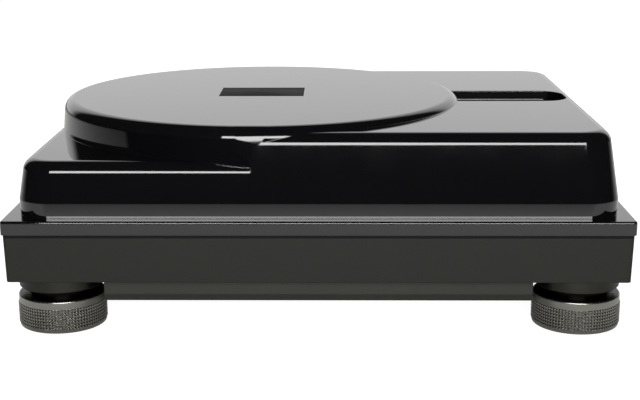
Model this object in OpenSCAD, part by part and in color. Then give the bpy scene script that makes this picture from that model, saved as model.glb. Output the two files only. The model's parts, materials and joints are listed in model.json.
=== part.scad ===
// Direct-drive record player standing on four turned height-adjusting feet,
// with a moulded hard cover lying over its deck.
// Millimetres. Origin: middle of the footprint, on the surface it stands on.
// +X is the player's right, +Y its back, +Z up.

/* [Cabinet] */
// Width of the cabinet, left to right
body_w = 453; // [430:1:560]
// Depth of the cabinet, front to back
body_d = 353; // [350:1:430]
// Height of the cabinet's underside above the table
ride_h = 42.4; // [38:0.2:55]
// Height of the cabinet shell below the deck
cabinet_h = 33.2; // [30:0.2:45]
// Wall and floor of the cabinet shell
cabinet_t = 4; // [3:0.5:6]
// How much narrower each side of the cabinet is at its underside
cabinet_draft = 0.7; // [0:0.1:2]
// Corner radius of the cabinet and deck, seen from above
body_r = 3; // [1:0.5:8]

/* [Deck] */
// Height of the deck from its lip to its surface
deck_h = 9.8; // [8:0.2:14]
// Thickness of the deck plate and its walls
deck_t = 4; // [3:0.5:6]
// Height of the lip that meets the cabinet
lip_h = 2.4; // [1.5:0.1:4]
// How far the deck above the lip stands in from it
lip_step = 2; // [1.8:0.1:4]

/* [Rubber base] */
// Height of the base's underside above the table
base_z = 23.3; // [20:0.1:28]
// How far the base's front and back stand in from the cabinet
base_inset_y = 14.5; // [8:0.5:24]
// How far the base's sides stand in from the cabinet
base_inset_x = 11.5; // [8:0.5:24]
// Height of the sloping band round the bottom of the base
base_band = 5.7; // [3:0.1:8]
// How far that band slopes inwards
base_slope = 3; // [1:0.5:6]

/* [Feet] */
// Radius of a foot's knurled ring
foot_r = 33; // [26:0.5:40]
// Height of a foot's ring
ring_h = 25.6; // [18:0.2:28]
// Height of the fixed collar above the ring
collar_h = 11.4; // [8:0.2:12]
// How far a foot screws down
foot_travel = 8; // [4:0.5:9]
// Space between a foot's ring and the cabinet's side, seen from above
foot_edge_x = 0; // [0:0.2:20]
// Space between a foot's ring and the cabinet's front or back
foot_edge_y = 5; // [0:0.2:20]

/* [Cover] */
// Wall of the moulded cover
cover_t = 2.5; // [2:0.1:3.5]
// How far the cover's brim stands out from the cabinet
brim_out = 1.25; // [1:0.05:3]
// Height of the brim
brim_h = 10.2; // [9:0.1:14]
// Width of the ledge between the brim's edge and the box
brim_ledge = 8.5; // [6:0.5:14]
// Height of the low shelf at the left, above the deck
shelf_low = 43.3; // [40:0.1:60]
// Height of the high shelf at the right, above the deck
shelf_high = 63.5; // [60:0.1:80]
// Height of the drum over the platter, above the deck
drum_h = 68.1; // [65:0.1:90]
// Radius of the drum at its top
drum_r = 163; // [120:0.5:166]
// Slope of the drum's wall, in degrees
drum_draft = 4; // [0:0.5:8]
// Slope of the cover's walls, in degrees
cover_draft = 8.2; // [3:0.1:9]
// Corner radius of the box, seen from above
cover_r = 24; // [14:1:40]
// Rounding along the top edges
cover_edge = 9; // [4:0.5:12]
// Width of the finger channel, front to back
channel_w = 57; // [40:1:80]
// Depth of the finger channel
channel_depth = 9; // [5:0.5:9]
// Middle of the finger channel, back from the platter's centre
channel_y = 6.5; // [0:0.5:20]
// Width of the bare badge plate
badge_w = 69.5; // [40:0.5:90]
// Depth of the bare badge plate
badge_d = 45; // [20:0.5:60]

/* [Platter] */
// Diameter of the platter
platter_d = 330; // [270:1:332]
// Distance from the cabinet's left side to the platter's centre
platter_from_left = 178.2; // [177:0.1:200]
// Height of the platter, rim to top
platter_h = 12.8; // [10:0.2:18]
// Gap under the platter's rim
platter_gap = 1.8; // [1:0.1:4]
// Thickness of the rubber mat
mat_h = 3; // [2:0.5:5]
// Thickness of the felt slipmat
slipmat_h = 1.5; // [1:0.5:3]
// Radius of the spindle pin that takes the record's hole
pin_r = 3.6; // [3.5:0.05:3.65]
// Height of the spindle pin above the slipmat
pin_h = 14.5; // [10:0.5:18]

/* [Motor] */
// Outer radius of the rotor magnet
rotor_r = 60; // [50:1:70]
// Radius of the motor's shaft
shaft_r = 5; // [4:0.5:7]
// Number of stator poles
poles = 12; // [6:1:15]

/* [Tonearm] */
// Distance from the spindle to the arm's pivot
mount_distance = 215; // [205:1:230]
// Distance of the arm's pivot behind the spindle
pivot_back = 84; // [70:1:95]
// Distance from the arm's pivot to the stylus
arm_length = 230; // [222:1:245]
// Angle between the headshell and the line from pivot to stylus
offset_angle = 22; // [18:0.5:25]
// Angle of the tube's outward run
outward_angle = 16; // [10:1:20]
// Radius of the tube's two bends
bend_r = 60; // [40:1:80]
// Radius of the arm tube
tube_r = 5; // [4:0.5:6]
// Height of the arm tube's centre above the deck
tube_h = 36.6; // [34:0.2:42]
// Highest lift of the arm's height ring
lift_travel = 6; // [3:0.5:8]
// Angle by which cueing raises the arm
cue_angle = 2.8; // [1:0.1:4]
// Radius of the counterweight
weight_r = 13; // [11:0.5:13]
// Length of the counterweight
weight_len = 25; // [18:0.5:28]

/* [Controls] */
// Side of the square start button
start_size = 27; // [20:0.5:34]
// Travel of the push buttons
press = 1.5; // [1:0.1:2.5]
// Travel of the pitch fader each way
fader_travel = 50; // [30:1:55]
// Radius of the strobe tower
tower_r = 12; // [9:0.5:13]
// Height of the strobe tower
tower_h = 14; // [10:0.5:20]
// Radius of the adapter for large-hole records
adapter_r = 19; // [18.8:0.05:19.2]
// How far the target light rises
light_travel = 26; // [15:1:28]

/* [Fits] */
// Space between pieces that move past each other
gap = 0.3; // [0.3:0.05:0.5]
// Radial clearance of a running shaft
fit = 0.05; // [0.03:0.01:0.1]

/* [Hidden] */

$fn = 96;
hull_fn = 32;
slice = 0.01;
eps = 0.5;

// Heights
cabinet_top = ride_h + cabinet_h;
deck_z = cabinet_top + deck_h;
deck_under = deck_z - deck_t;
floor_z = ride_h + cabinet_t;

// Outlines
half_w = body_w / 2;
half_d = body_d / 2;
deck_w = body_w - 2 * lip_step;
deck_d = body_d - 2 * lip_step;
brim_w = body_w + 2 * brim_out;
brim_d = body_d + 2 * brim_out;

// Cover
brim_top = deck_z + gap + cover_t;
brim_bottom = brim_top - brim_h;
box_half_x = brim_w / 2 - brim_ledge;
box_half_y = brim_d / 2 - brim_ledge;
brim_edge = 1.6;
channel_end_margin = 14;
channel_corner = 20;
badge_sunk = 1;
badge_play = 0.1;

// Platter
platter_x = -half_w + platter_from_left;
platter_r = platter_d / 2;
platter_bottom = deck_z + platter_gap;
platter_top = platter_bottom + platter_h;
platter_t = 6;
platter_under = platter_top - platter_t;
rim_t = 7;
rim_slope = 6;
rim_land = 3.8;
mat_r = platter_r - 17;
slipmat_r = mat_r - 1;
slipmat_top = platter_top + mat_h + slipmat_h;
pin_top = slipmat_top + pin_h;
pin_nose = 2;
deck_drum_top = deck_z + drum_h;

// Motor
motor_plate_z = floor_z + 15.6;
motor_plate_t = 3;
motor_hole_r = rotor_r + 6;
post_r = 5;
post_ring_r = motor_hole_r + post_r + 3;
rotor_t = 8;
rotor_bottom = motor_plate_z + motor_plate_t + 5;
housing_r = 14;
housing_bottom = floor_z + 3.6;
housing_top = deck_z - 1.4;
housing_floor = 3;
core_r = 26;
pole_r = rotor_r - rotor_t - 5;
pole_w = 6;
pole_z = motor_plate_z + motor_plate_t + 3;
pole_h = 8;
spindle_flange_r = 12;
shoulder_r = 6;
mat_hole_r = pin_r + 1.2;

// Feet
foot_x = half_w - foot_r - foot_edge_x;
foot_y = half_d - foot_r - foot_edge_y;
FEET = [[-1, -1], [1, -1], [1, 1], [-1, 1]];
collar_z = ride_h - collar_h;
collar_r = foot_r - 1.8;
neck_r = foot_r - 9;
stud_r = 5;
stud_top = floor_z + foot_travel + 4;
pad_r = foot_r - 4.4;
pad_h = 6;
ring_z = 0.8;
band_z = 2.9;
band_top = 19.2;
band_step = 0.8;
ring_edge = 1.6;
boss_r = 11;
base_r = 6;
pocket_clear = 3;
pocket_corner = 18;
screw_head_r = 3.6;
screw_head_h = 2.4;
screw_sunk = 3;

// Rear terminals
terminal_z = ride_h + cabinet_h / 2;
recess_depth = 12.5;
recess_wall = 3.5;
recess_h = 22;
recess_y = half_d - recess_depth;
audio_x = 110;
audio_w = 76;
mains_x = -140;
mains_w = 44;
jack_r = 4.2;
jack_out = 10;

// Controls
start_x = -half_w + 31;
start_y = -half_d + 36;
speed_w = 18;
speed_d = 8;
speed_y = -half_d + 24;
speed_33_x = start_x + 33;
speed_45_x = speed_33_x + 22;
button_rise = press + 1.1;
flange_lip = 1.4;
flange_h = 2;
fader_x = half_w - 28.5;
fader_y = -half_d + 106.5;
fader_slot = 3;
stem_w = 2.4;
stem_d = 6;
scale_w = 24;
scale_h = 1;
scale_end = 15;
reset_y = fader_y + fader_travel + scale_end + 12;
reset_r = 4.6;
tower_x = -half_w + 27;
tower_y = -half_d + 76.5;
adapter_x = -half_w + 34;
adapter_y = half_d - 34;
adapter_h = 10;
adapter_sink = 3;
light_x = platter_x + 146;
light_y = -half_d + 26.5;
light_r = 5;
light_collar = 0.8;
light_held = 8.8;
sleeve_r = 8;

// Tonearm
pivot_x = platter_x + sqrt(mount_distance * mount_distance - pivot_back * pivot_back);
pivot_y = pivot_back;
tube_z = deck_z + tube_h;
straight_r = tube_r - 0.1;
shell_reach = 50;
last_run = 12;
total_bend = outward_angle + offset_angle;
run_1 = ((shell_reach + last_run) * sin(offset_angle) - bend_r * (1 - cos(outward_angle))
    - bend_r * (cos(offset_angle) - cos(outward_angle))) / sin(outward_angle);
run_0 = arm_length - shell_reach * cos(offset_angle) - bend_r * sin(outward_angle) - run_1 * cos(outward_angle)
    - bend_r * (sin(outward_angle) + sin(offset_angle)) - last_run * cos(offset_angle);
base_flange_r = 40;
base_flange_h = 5.6;
arm_bore_r = 14;
sleeve_wall = 5.6;
sleeve_bottom = deck_under - 10 - lift_travel;
ring_top_h = 8;
height_ring_z = deck_z + base_flange_h + gap;
carriage_z = height_ring_z + ring_top_h + 4;
carriage_h = 3.7;
carriage_top = carriage_z + carriage_h;
carriage_r = 31;
spigot_r = 4;
spigot_h = 6;
yoke_in = 11;
yoke_t = 5;
yoke_d = 12;
block_r = 8.5;
block_half = 12;
pivot_pin_r = 1.5;
rear_len = 66;
dial_t = 6;
cue_reach = 26;
cue_bar_r = 2;
cue_rod_r = 2.5;
cue_rise = cue_reach * tan(cue_angle);
lever_x = 22;
lever_y = 24;
lever_z = carriage_top + 5;
lever_len = 24;
skate_x = 33;
skate_y = 10;
skate_r = 9;
skate_h = 8;
rest_run = run_1 * 0.8;
rest_w = 10;
rest_wall = 2.4;
clip_t = 1.6;
clip_pin_r = 1.2;
clip_z = tube_r + 1.6;
clip_len = 13;
clip_open = 150;
neck_pin_r = 4;
shell_w = 18;
shell_t = 2;
cart_w = 16;
cart_len = 28;
stylus_z = slipmat_top + 1.8;

// ---------------------------------------------------------------- helpers

// Rounded outline of full size w by d
module outline(w, d, r) {
    offset(r = r, $fn = hull_fn)
        square([w - 2 * r, d - 2 * r], center = true);
}

// One thin level of a rounded box of half sizes hx and hy
module level(hx, hy, r, z) {
    for (sx = [-1, 1], sy = [-1, 1])
        translate([sx * (hx - r), sy * (hy - r), z])
            cylinder(r = r, h = slice, $fn = hull_fn);
}

// A cylinder from z0 to z1
module post(r, z0, z1) {
    translate([0, 0, z0])
        cylinder(r = r, h = z1 - z0);
}

// A box centred on x and y that stands on z0
module block(w, d, z0, z1) {
    translate([-w / 2, -d / 2, z0])
        cube([w, d, z1 - z0]);
}

module at_foot(n) {
    translate([FEET[n][0] * foot_x, FEET[n][1] * foot_y, 0])
        children();
}

module at_platter() {
    translate([platter_x, 0, 0])
        children();
}

module at_pivot() {
    translate([pivot_x, pivot_y, 0])
        children();
}

// ------------------------------------------------------------------ cover

// The box of the cover up to a given top, thinned all round by skin
module cover_block(top, skin) {
    edge = cover_edge - skin;
    z_top = top - skin;
    foot = brim_top - cover_t - eps;
    hull() {
        level(box_half_x - skin, box_half_y - skin, cover_r - skin, foot);
        for (t = [0 : 22.5 : 90]) {
            z = z_top - edge + edge * sin(t);
            lean = (z - brim_top) * tan(cover_draft) + skin + edge * (1 - cos(t));
            level(box_half_x - lean, box_half_y - lean, cover_r - skin - edge * (1 - cos(t)), z - slice);
        }
    }
}

// The round drum over the platter
module cover_drum(skin) {
    edge = cover_edge - skin;
    z_top = deck_drum_top - skin;
    at_platter() hull() {
        translate([0, 0, deck_z + shelf_low - 20])
            cylinder(r = drum_r - skin + (drum_h - shelf_low + 20) * tan(drum_draft), h = slice, $fn = 160);
        for (t = [0 : 22.5 : 90])
            translate([0, 0, z_top - edge + edge * sin(t) - slice])
                cylinder(r = drum_r - skin - edge * (1 - cos(t)), h = slice, $fn = 160);
    }
}

// The finger channel in the high shelf, from the drum towards the right side
module cover_channel(skin) {
    x_end = box_half_x - channel_end_margin + skin;
    bottom = deck_z + shelf_high - channel_depth - skin;
    half = channel_w / 2 + skin;
    translate([0, channel_y, bottom]) hull()
        for (rise = [0, 3, 30], sy = [-1, 1]) {
            pull = rise == 0 ? 4 : 0;
            translate([x_end - channel_corner, sy * (half - channel_corner), rise])
                cylinder(r = channel_corner - pull, h = slice, $fn = hull_fn);
            translate([platter_x, sy * (half - pull - slice), rise])
                cylinder(r = slice, h = slice, $fn = 8);
        }
}

// The moulding above the brim, thinned all round by skin
module cover_form(skin) {
    cover_block(deck_z + shelf_low, skin);
    difference() {
        intersection() {
            cover_block(deck_z + shelf_high, skin);
            translate([platter_x + skin, -body_d, 0])
                cube([2 * body_w, 2 * body_d, 2 * deck_drum_top]);
        }
        cover_channel(skin);
    }
    intersection() {
        cover_block(deck_drum_top, skin);
        cover_drum(skin);
    }
}

module dust_cover() {
    color("#101012") difference() {
        union() {
            hull() {
                level(brim_w / 2, brim_d / 2, body_r, brim_bottom);
                level(brim_w / 2, brim_d / 2, body_r, brim_top - brim_edge);
                level(brim_w / 2 - brim_edge, brim_d / 2 - brim_edge, body_r, brim_top - slice);
            }
            cover_form(0);
        }
        hull() {
            level(brim_w / 2 - cover_t, brim_d / 2 - cover_t, body_r, brim_bottom - 1);
            level(brim_w / 2 - cover_t, brim_d / 2 - cover_t, body_r, brim_top - cover_t - slice);
        }
        cover_form(cover_t);
        at_platter()
            block(badge_w, badge_d, deck_drum_top - badge_sunk, deck_drum_top + 1);
    }
}

module cover_badge() {
    color("#0a0a0b") at_platter()
        block(badge_w - 2 * badge_play, badge_d - 2 * badge_play, deck_drum_top - badge_sunk, deck_drum_top - 0.2);
}

// ------------------------------------------------------- deck and cabinet

module deck_top() {
    color("#1b1b1c") difference() {
        union() {
            translate([0, 0, cabinet_top])
                linear_extrude(height = lip_h) outline(body_w, body_d, body_r);
            translate([0, 0, cabinet_top])
                linear_extrude(height = deck_h) outline(deck_w, deck_d, body_r);
        }
        translate([0, 0, cabinet_top - eps])
            linear_extrude(height = deck_h - deck_t + eps)
                square([deck_w - 2 * deck_t, deck_d - 2 * deck_t], center = true);
        at_platter()
            post(motor_hole_r, deck_under - eps, deck_z + eps);
        at_pivot()
            post(arm_bore_r + sleeve_wall + gap, deck_under - eps, deck_z + eps);
        translate([start_x, start_y, 0])
            block(start_size, start_size, deck_under - eps, deck_z + eps);
        for (x = [speed_33_x, speed_45_x])
            translate([x, speed_y, 0])
                block(speed_w, speed_d, deck_under - eps, deck_z + eps);
        translate([fader_x, fader_y, 0])
            block(fader_slot, 2 * fader_travel + stem_d + 2, deck_under - eps, deck_z + eps);
        translate([fader_x, reset_y, 0])
            post(reset_r + gap, deck_under - eps, deck_z + eps);
        translate([tower_x, tower_y, 0])
            post(tower_r - 4, deck_under - eps, deck_z + eps);
        translate([light_x, light_y, 0])
            post(sleeve_r + 0.1, deck_under - eps, deck_z + eps);
        translate([adapter_x, adapter_y, 0])
            post(adapter_r + gap, deck_z - adapter_sink, deck_z + eps);
    }
}

// The outside of the cabinet, a little narrower at its underside
module cabinet_form() {
    hull() {
        level(half_w - cabinet_draft, half_d - cabinet_draft, body_r, ride_h);
        level(half_w, half_d, body_r, cabinet_top - slice);
    }
}

// A box at the rear wall that holds a recess of width w
module recess_block(x, w, grow, front) {
    translate([x - w / 2 - grow, front, terminal_z - recess_h / 2 - grow])
        cube([w + 2 * grow, half_d + eps - front, recess_h + 2 * grow]);
}

module cabinet_shell() {
    inner_d = body_d - 2 * cabinet_t;
    color("#34342e") difference() {
        cabinet_form();
        difference() {
            translate([0, 0, floor_z])
                linear_extrude(height = cabinet_h)
                    square([body_w - 2 * cabinet_t, inner_d], center = true);
            recess_block(audio_x, audio_w, recess_wall, recess_y - recess_wall);
            recess_block(mains_x, mains_w, recess_wall, recess_y - recess_wall);
            for (n = [0 : 3])
                at_foot(n) post(boss_r, ride_h, floor_z + foot_travel);
        }
        recess_block(audio_x, audio_w, 0, recess_y);
        recess_block(mains_x, mains_w, 0, recess_y);
        for (x = [audio_x - 18, audio_x])
            translate([x, recess_y, terminal_z]) rotate([90, 0, 0])
                post(jack_r + 0.1, -eps, recess_wall + eps);
        translate([audio_x + 24, recess_y, terminal_z]) rotate([90, 0, 0])
            post(2.1, -eps, recess_wall + eps);
        translate([mains_x, recess_y, terminal_z]) rotate([90, 0, 0])
            block(22.4, 14.4, -eps, recess_wall + eps);
        for (n = [0 : 3])
            at_foot(n) post(stud_r + fit, ride_h - eps, floor_z + foot_travel + eps);
    }
}

module rubber_base() {
    base_w = body_w - 2 * base_inset_x;
    base_d = body_d - 2 * base_inset_y;
    pocket = foot_r + pocket_clear;
    color("#37372f") difference() {
        hull() {
            level(base_w / 2 - base_slope, base_d / 2 - base_slope, base_r, base_z);
            level(base_w / 2, base_d / 2, base_r, base_z + base_band);
            level(base_w / 2, base_d / 2, base_r, ride_h - slice);
        }
        for (n = [0 : 3])
            at_foot(n) mirror([FEET[n][0] < 0 ? 1 : 0, 0, 0]) mirror([0, FEET[n][1] < 0 ? 1 : 0, 0])
                translate([-pocket, -pocket, base_z - eps])
                    linear_extrude(height = ride_h - base_z + 2 * eps) {
                        translate([pocket_corner, 0])
                            square([2 * pocket, 3 * pocket]);
                        translate([0, pocket_corner])
                            square([2 * pocket, 3 * pocket]);
                        translate([pocket_corner, pocket_corner])
                            circle(r = pocket_corner);
                    }
        translate([0, 0, base_z - eps])
            linear_extrude(height = eps + 2.5)
                outline(base_w - 170, base_d - 60, 10);
        base_screw_places()
            post(screw_head_r + 0.9, base_z - eps, base_z + screw_sunk);
    }
}

// The eight screws that hold the rubber base to the cabinet
module base_screw_places() {
    for (x = [-1, -1 / 3, 1 / 3, 1], y = [-1, 1])
        translate([x * (half_w - 100), y * (half_d - 32), 0])
            children();
}

module base_screws() {
    color("#8c8c8a") base_screw_places()
        difference() {
            post(screw_head_r, base_z + screw_sunk - screw_head_h, base_z + screw_sunk);
            block(5, 1, base_z - eps, base_z + 1.8);
            block(1, 5, base_z - eps, base_z + 1.8);
        }
}

// ------------------------------------------------------------------- feet

module foot_collar(n) {
    color("#302f2c") at_foot(n)
        rotate_extrude()
            polygon([
                [neck_r + fit, collar_z],
                [collar_r - 1, collar_z],
                [collar_r, collar_z + 1],
                [collar_r, ride_h],
                [neck_r + fit, ride_h]
            ]);
}

// Knurled ring, neck and threaded stud, turned as one piece
module foot_ring(n) {
    smooth_r = foot_r - band_step;
    color("#2b2a28") at_foot(n)
        rotate_extrude()
            polygon([
                [0, pad_h + gap],
                [pad_r + gap, pad_h + gap],
                [pad_r + gap, ring_z],
                [smooth_r - 1, ring_z],
                [smooth_r, ring_z + 1],
                [smooth_r, band_z],
                [foot_r, band_z],
                [foot_r, band_top],
                [smooth_r, band_top],
                [smooth_r, ring_h - ring_edge],
                [smooth_r - ring_edge, ring_h],
                [neck_r, ring_h],
                [neck_r, ride_h - gap],
                [stud_r, ride_h - gap],
                [stud_r, stud_top],
                [0, stud_top]
            ]);
}

module foot_pad(n) {
    color("#1a1a1a") at_foot(n)
        rotate_extrude()
            polygon([
                [0, 0],
                [pad_r - 1, 0],
                [pad_r, 1],
                [pad_r, pad_h],
                [0, pad_h]
            ]);
}

// ------------------------------------------------------ motor and platter

module motor_plate() {
    color("#b9bbbd") at_platter() {
        difference() {
            union() {
                post(post_ring_r + post_r + 1, motor_plate_z, motor_plate_z + motor_plate_t);
                post(core_r, motor_plate_z, pole_z + pole_h);
                for (a = [0 : 3])
                    rotate([0, 0, 45 + 90 * a]) translate([post_ring_r, 0, 0])
                        post(post_r, motor_plate_z, deck_under);
                for (a = [0 : poles - 1])
                    rotate([0, 0, a * 360 / poles]) {
                        translate([core_r - 2, -pole_w / 2, pole_z])
                            cube([pole_r - core_r, pole_w, pole_h]);
                        translate([pole_r - 3, -pole_r * sin(150 / poles), pole_z - 1])
                            cube([3, 2 * pole_r * sin(150 / poles), pole_h + 2]);
                    }
            }
            post(housing_r + fit, motor_plate_z - eps, pole_z + pole_h + eps);
        }
    }
}

module stator_coils() {
    coil_len = pole_r - 3 - core_r - 1.6;
    color("#b5653a") at_platter()
        for (a = [0 : poles - 1])
            rotate([0, 0, a * 360 / poles]) translate([core_r + 0.8, 0, 0])
                difference() {
                    translate([0, -pole_w / 2 - 2, pole_z - 2])
                        cube([coil_len, pole_w + 4, pole_h + 4]);
                    translate([-eps, -pole_w / 2, pole_z])
                        cube([coil_len + 2 * eps, pole_w, pole_h]);
                }
}

module bearing_housing() {
    color("#c9a85a") at_platter() difference() {
        union() {
            post(housing_r, housing_bottom, housing_top);
            post(housing_r + 8, motor_plate_z - 3, motor_plate_z);
        }
        post(shaft_r + fit, housing_bottom + housing_floor, housing_top + eps);
    }
}

module rotor_magnet() {
    color("#3c3c3e") at_platter() difference() {
        post(rotor_r, rotor_bottom, platter_under);
        post(rotor_r - rotor_t, rotor_bottom - eps, platter_under + eps);
    }
}

module spindle() {
    color("#d8d9db") at_platter() {
        post(shaft_r, housing_bottom + housing_floor + gap, platter_under);
        post(spindle_flange_r, platter_under - 4, platter_under);
        post(shoulder_r, platter_under, platter_top);
        post(pin_r, platter_top, pin_top - pin_nose);
        translate([0, 0, pin_top - pin_nose])
            cylinder(r1 = pin_r, r2 = pin_r - 1.6, h = pin_nose);
    }
}

module platter() {
    color("#c4c6c8") at_platter() {
        rotate_extrude($fn = 160)
            polygon([
                [shoulder_r + fit, platter_under],
                [platter_r - rim_t, platter_under],
                [platter_r - rim_t, platter_bottom],
                [platter_r, platter_bottom],
                [platter_r, platter_bottom + rim_land],
                [platter_r - rim_slope, platter_top - 1],
                [platter_r - rim_slope - 1, platter_top],
                [shoulder_r + fit, platter_top]
            ]);
        for (a = [0 : 5])
            rotate([0, 0, 60 * a + 30])
                translate([rotor_r + 4, -2, platter_under - 3])
                    cube([platter_r - rim_t - rotor_r - 3, 4, 3 + 1]);
    }
}

module platter_mat() {
    color("#18181a") at_platter()
        rotate_extrude($fn = 160)
            polygon([
                [mat_hole_r, platter_top],
                [mat_r, platter_top],
                [mat_r, platter_top + mat_h],
                [mat_hole_r, platter_top + mat_h]
            ]);
}

module slipmat() {
    color("#232326") at_platter() difference() {
        post(slipmat_r, slipmat_top - slipmat_h, slipmat_top);
        post(mat_hole_r, slipmat_top - slipmat_h - eps, slipmat_top + eps);
    }
}

// ---------------------------------------------- inside and at the back

module main_board() {
    board_z = floor_z + 6;
    x = -half_w + 24;
    y = half_d - 150;
    color("#2c5a3a") translate([x, y, 0]) {
        translate([0, 0, board_z])
            cube([70, 90, 1.6]);
        for (px = [6, 64], py = [6, 84])
            translate([px, py, 0])
                post(3, floor_z, board_z);
        for (p = [[12, 18, 14], [34, 18, 10], [12, 50, 8], [40, 48, 16]])
            translate([p[0], p[1], board_z + 1.6])
                cube([16, 20, p[2]]);
    }
}

module transformer() {
    color("#7a6a52") translate([half_w - 120, -half_d + 100, floor_z]) {
        translate([-28, -22, 0])
            cube([56, 44, 3]);
        translate([-22, -18, 3])
            cube([44, 36, 22]);
        translate([-12, -24, 6])
            cube([24, 48, 16]);
    }
}

module rca_jacks() {
    color("#c9a14a")
        for (x = [audio_x - 18, audio_x])
            translate([x, recess_y, terminal_z]) rotate([-90, 0, 0])
                difference() {
                    union() {
                        post(jack_r, -9, jack_out);
                        post(6, 0, 2);
                    }
                    post(1.7, 2, jack_out + eps);
                }
}

module ground_terminal() {
    color("#b9bbbd")
        translate([audio_x + 24, recess_y, terminal_z]) rotate([-90, 0, 0]) {
            post(2, -7, 10);
            post(4.5, 0, 1.2);
            post(5, 3, 9);
        }
}

module power_inlet() {
    color("#1c1c1c")
        translate([mains_x, recess_y, terminal_z]) rotate([-90, 0, 0]) {
            difference() {
                union() {
                    block(22, 14, -18, 3);
                    block(32, 18, 0, 3);
                }
                block(17, 9, -12, 3 + eps);
            }
            for (x = [-4.3, 4.3])
                translate([x, 0, 0])
                    post(1.2, -12, 0);
        }
}

// --------------------------------------------------------------- controls

// A push button whose cap rises through an opening of w by d
module push_button(w, d) {
    block(w - 2 * gap, d - 2 * gap, deck_under - gap - eps, deck_z + button_rise);
    block(w + 2 * flange_lip, d + 2 * flange_lip, deck_under - gap - flange_h, deck_under - gap);
}

module start_button() {
    color("#c2c4c6") translate([start_x, start_y, 0])
        push_button(start_size, start_size);
}

module speed_33_button() {
    color("#c2c4c6") translate([speed_33_x, speed_y, 0])
        push_button(speed_w, speed_d);
}

module speed_45_button() {
    color("#c2c4c6") translate([speed_45_x, speed_y, 0])
        push_button(speed_w, speed_d);
}

module reset_button() {
    color("#c2c4c6") translate([fader_x, reset_y, 0]) {
        post(reset_r, deck_under - gap - eps, deck_z + button_rise - 1);
        post(reset_r + 2, deck_under - gap - flange_h, deck_under - gap);
    }
}

module fader_body() {
    len = 2 * fader_travel + stem_d + 16;
    color("#2a2a2c") translate([fader_x, fader_y, 0])
        difference() {
            block(14, len, deck_under - 12, deck_under);
            block(fader_slot + 3, len - 6, deck_under - 10, deck_under + eps);
        }
}

module fader_scale() {
    color("#161617") translate([fader_x, fader_y, 0])
        difference() {
            block(scale_w, 2 * (fader_travel + scale_end), deck_z, deck_z + scale_h);
            block(fader_slot, 2 * fader_travel + stem_d + 2, deck_z - eps, deck_z + scale_h + eps);
        }
}

module fader_knob() {
    cap_z = deck_z + scale_h + gap;
    color("#c2c4c6") translate([fader_x, fader_y, 0]) {
        block(stem_w, stem_d, deck_under - 9.7, cap_z + 1);
        difference() {
            block(19, 11, cap_z, cap_z + 8);
            translate([0, 0, cap_z + 8]) rotate([0, 90, 0])
                post(1.2, -12, 12);
        }
    }
}

module strobe_tower() {
    color("#b9bbbd") translate([tower_x, tower_y, 0])
        difference() {
            union() {
                post(tower_r, deck_z, deck_z + tower_h);
                post(tower_r - 4 - 0.1, deck_under - 4, deck_z);
            }
            rotate([0, 0, atan2(-tower_y, platter_x - tower_x)])
                translate([tower_r - 4, -5, deck_z + 2])
                    cube([6, 10, 6]);
            post(2 + fit, deck_z + tower_h - 6, deck_z + tower_h + eps);
        }
}

module strobe_lens() {
    color("#b03a2e") translate([tower_x, tower_y, 0])
        rotate([0, 0, atan2(-tower_y, platter_x - tower_x)])
            translate([tower_r - 4, -4.9, deck_z + 2.1])
                cube([3, 9.8, 5.8]);
}

module power_knob() {
    color("#c2c4c6") translate([tower_x, tower_y, 0]) {
        difference() {
            post(tower_r - 0.5, deck_z + tower_h + gap, deck_z + tower_h + 9);
            translate([tower_r - 5, -0.6, deck_z + tower_h + 8])
                cube([6, 1.2, 2]);
        }
        post(2, deck_z + tower_h - 5.5, deck_z + tower_h + 1);
    }
}

module light_sleeve() {
    color("#b9bbbd") translate([light_x, light_y, 0])
        difference() {
            union() {
                post(sleeve_r, floor_z + 4, deck_z);
                post(sleeve_r + 2, deck_z, deck_z + light_collar);
            }
            post(light_r + fit, floor_z + 4 - eps, deck_z + light_collar + eps);
        }
}

module target_light() {
    color("#c2c4c6") translate([light_x, light_y, 0])
        difference() {
            union() {
                post(light_r, deck_z + light_collar - light_travel - light_held, deck_z + 2);
                post(light_r + 2, deck_z + light_collar + gap, deck_z + 4.4);
            }
            rotate([0, 0, atan2(-light_y, platter_x - light_x)])
                translate([light_r - 2, -2.5, deck_z - 8])
                    cube([4, 5, 6]);
        }
}

module adapter_45() {
    bottom = deck_z - adapter_sink + gap;
    color("#c9cbcd") translate([adapter_x, adapter_y, 0])
        rotate_extrude()
            polygon([
                [3.75, bottom],
                [adapter_r, bottom],
                [adapter_r, bottom + 4],
                [adapter_r - 7, bottom + adapter_h],
                [3.75, bottom + adapter_h]
            ]);
}

// ---------------------------------------------------------------- tonearm

// Frame of the arm at rest: +X runs forwards from the pivot, +Y outwards
module arm_frame() {
    translate([pivot_x, pivot_y, tube_z])
        rotate([0, 0, -90])
            children();
}

// The start of the tube's outward run
module at_outward_run() {
    translate([run_0 + bend_r * sin(outward_angle), bend_r * (1 - cos(outward_angle)), 0])
        rotate([0, 0, outward_angle])
            children();
}

// The start of the last straight run, in line with the headshell
module at_last_run() {
    at_outward_run()
        translate([run_1 + bend_r * sin(total_bend), -bend_r * (1 - cos(total_bend)), 0])
            rotate([0, 0, -total_bend])
                children();
}

// The headshell's seat, at the end of the tube
module at_shell() {
    at_last_run() translate([last_run, 0, 0])
        children();
}

// A rod along +X from x0 to x1
module rod(r, x0, x1) {
    translate([x0, 0, 0]) rotate([0, 90, 0])
        cylinder(r = r, h = x1 - x0);
}

// A bend of the tube through an angle, round a centre at +Y or -Y
module bend(angle, side) {
    start = side > 0 ? -90 : 90 - angle;
    translate([0, side * bend_r, 0]) rotate([0, 0, start])
        rotate_extrude(angle = angle)
            translate([bend_r, 0]) circle(r = tube_r, $fn = 48);
}

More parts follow.
